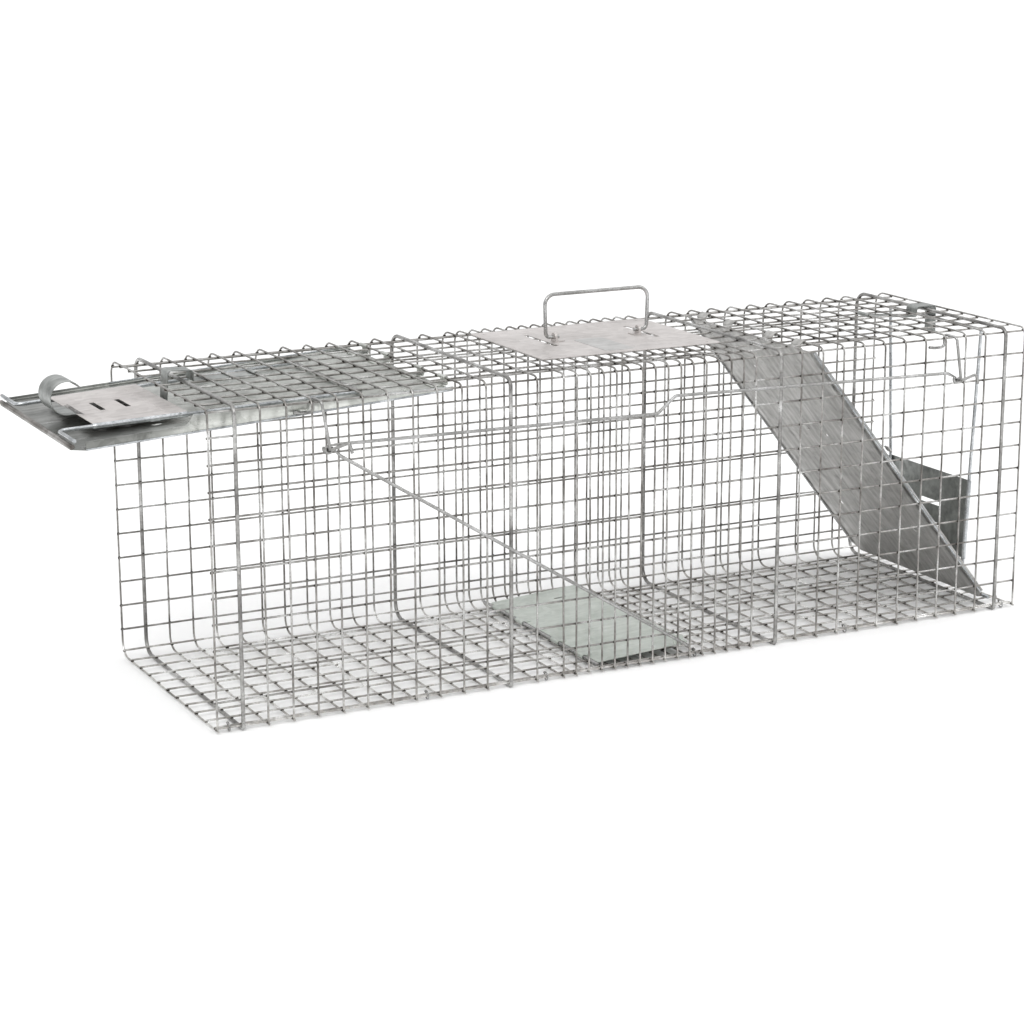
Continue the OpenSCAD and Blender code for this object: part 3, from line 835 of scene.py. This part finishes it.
def make_rods():
    eye = joint_at("link_rod_eye")
    x0, z = eye.x, eye.z
    x1 = x0 + joint_at("right_catch_pivot").x - joint_at("left_catch_pivot").x
    loop = CATCH_R + ROD_R + 0.1
    left = arc((x0, z), loop, -215, 60, -LINK_Y, 22)
    right = arc((x1, z), loop, 130, 395, -LINK_Y, 22)
    jog_low, jog_high = (along(inches) for inches in JOG_INCHES)
    run = rounded([
        left[-1], (x0 + 14, -LINK_Y, z + 3), (jog_low, -LINK_Y, z - 1.5),
        (jog_high, -LINK_Y, z + 14.5), (x1 - 12, -LINK_Y, z + 7.5), right[0]
    ], [8, 6, 6, 5], 6)
    link = left[:-1] + divided(run, 60) + right[1:]
    wire = tube_mesh([link], ROD_R, False, 4)
    place("link_rod_wire", wire, "link_rod", ROD_WIRE, "rod_wire", ["link_rod"])
    lug_x = along(LUG_INCHES)
    down = (Vector((lug_x, 0, LUG_Z)) - Vector((x0, 0, z))).normalized()
    leaving = math.degrees(math.atan2(down.z, down.x)) + 75
    turn = arc((x0, z), loop, leaving - 275, leaving, -TRIP_Y, 22)
    run = rounded([
        turn[-1], (x0 + down.x * 14, -TRIP_Y, z + down.z * 14),
        (lug_x, -TRIP_Y, LUG_Z), (lug_x, 1.5 - PAN_NEAR, LUG_Z)
    ], [6, 5], 6)
    wire = tube_mesh([turn[:-1] + divided(run, 60)], ROD_R, False, 4)
    place("trip_rod_wire", wire, "trip_rod", ROD_WIRE, "rod_wire", ["trip_rod"])


# ---- Trip pan ----

def make_pan():
    pivot = joint_at("pan_tilt")
    matrix = Matrix.Translation(pivot) @ Matrix.Rotation(math.radians(-PAN_TILT), 4, "Y")
    corners = [(2.8, -PAN_NEAR), (PAN_LEN, -PAN_NEAR), (PAN_LEN, PAN_FAR), (2.8, PAN_FAR)]
    slot = slot_hole(PAN_LEN * 0.6 + 7, 85.5, 14, 3, 1.2)
    parts = [flat_mesh(round_corners(corners, 3), [slot], SHEET_T)]
    curl = [Vector((9, 0, 0.9)), Vector((3, 0, 0.9))] + arc((0, 0), 2.01, 70, 330, 0, 20)
    for k in (-3.5, -1.5, 1.5, 3.5):
        parts.append(ribbon_mesh(curl, 8.0, 0.9, k * RAIL_STEP_Y))
    lug = Vector((along(LUG_INCHES) - pivot.x, 0, LUG_Z - pivot.z))
    lug.rotate(Matrix.Rotation(math.radians(PAN_TILT), 3, "Y"))
    low_x, high_x, high_z = lug.x - 6, lug.x + 6, lug.z + 6
    ear = round_corners([(low_x, 0), (high_x, 0), (high_x, high_z), (low_x, high_z)], 3)
    upright = Matrix.Translation((0, 0.5 - PAN_NEAR, 0)) @ Matrix.Rotation(math.radians(90), 4, "X")
    parts.append(moved(flat_mesh(ear, [round_hole(lug.x, lug.z, ROD_R + 0.9)], SHEET_T), upright))
    place("trip_pan_sheet", joined(parts), "trip_pan", PAN_SHEET, "pan_sheet", ["trip_pan"], matrix)
    rod = tube_mesh([[Vector((pivot.x, y, pivot.z)) for y in (-PIVOT_HALF, 0, PIVOT_HALF)]], PIVOT_R)
    place("pan_pivot_wire", rod, "cage", ROD_WIRE, "rod_wire", ["pan_pivot_rod"])


# ---- Camera, light and floor ----

def make_camera():
    yaw, pitch, roll = 0.4706, 0.2455, -0.0028
    level = math.cos(pitch)
    forward = Vector((math.sin(yaw) * level, math.cos(yaw) * level, -math.sin(pitch)))
    right = Vector((math.cos(yaw), -math.sin(yaw), 0))
    up = right.cross(forward)
    right, up = right * math.cos(roll) + up * math.sin(roll), up * math.cos(roll) - right * math.sin(roll)
    data = bpy.data.cameras.new("camera")
    data.lens = 88.57
    data.sensor_width = 36
    data.clip_end = 200
    camera = bpy.data.objects.new("camera", data)
    basis = Matrix((right, up, -forward)).transposed().to_4x4()
    camera.matrix_world = Matrix.Translation((-1.2164, -2.2305, 0.7658)) @ basis
    bpy.context.scene.collection.objects.link(camera)
    bpy.context.scene.camera = camera


def make_area(name, at, size, power):
    data = bpy.data.lights.new(name, "AREA")
    data.shape = "RECTANGLE"
    data.size, data.size_y = size
    data.energy = power
    lamp = bpy.data.objects.new(name, data)
    lamp.location = at
    aim = Vector((0, 0, 0.15)) - Vector(at)
    lamp.rotation_euler = aim.to_track_quat("-Z", "Y").to_euler()
    bpy.context.scene.collection.objects.link(lamp)


def make_stage():
    mesh = bpy.data.meshes.new("floor")
    reach = 40
    corners = [(-reach, -reach, 0), (reach, -reach, 0), (reach, reach, 0), (-reach, reach, 0)]
    mesh.from_pydata(corners, [], [(0, 1, 2, 3)])
    floor = bpy.data.objects.new("floor", mesh)
    mat, tree, bsdf, vector = shader("floor", 0.0, 0.9, 0.1)
    tone = ramp(tree, noise_tex(tree, vector, 3, 2), [(0.3, (0.93, 0.93, 0.93)), (0.7, (0.95, 0.95, 0.95))])
    tree.links.new(tone, bsdf.inputs["Base Color"])
    mesh.materials.append(mat)
    bpy.context.scene.collection.objects.link(floor)


def make_world():
    """Bright overhead, darker towards the horizon, so round metal shows soft dark edges."""
    world = bpy.data.worlds.new("studio")
    world.use_nodes = True
    tree = world.node_tree
    coords = tree.nodes.new("ShaderNodeTexCoord")
    split = tree.nodes.new("ShaderNodeSeparateXYZ")
    tree.links.new(coords.outputs["Generated"], split.inputs["Vector"])
    stops = [(0.0, (0.55, 0.55, 0.55)), (0.25, (0.85, 0.85, 0.86)), (0.8, (1.3, 1.3, 1.3))]
    tone = ramp(tree, split.outputs["Z"], stops)
    tree.links.new(tone, tree.nodes["Background"].inputs["Color"])
    tree.nodes["Background"].inputs["Strength"].default_value = 1.0
    bpy.context.scene.world = world
    bpy.context.scene.view_settings.view_transform = "Standard"


make_camera()
make_world()
make_stage()
make_area("key", (-2.2, -2.6, 3.2), (2.4, 1.6), 60)
make_area("fill", (2.8, -1.6, 2.2), (1.6, 1.6), 18)

make_mesh_wires()
make_rings()
make_weld_marks()
make_edge_ties()
make_handle()
for end in SIDES:
    make_door(end)
    make_lock(end)
    make_latch(end)
    make_catch(end)
make_rods()
make_pan()
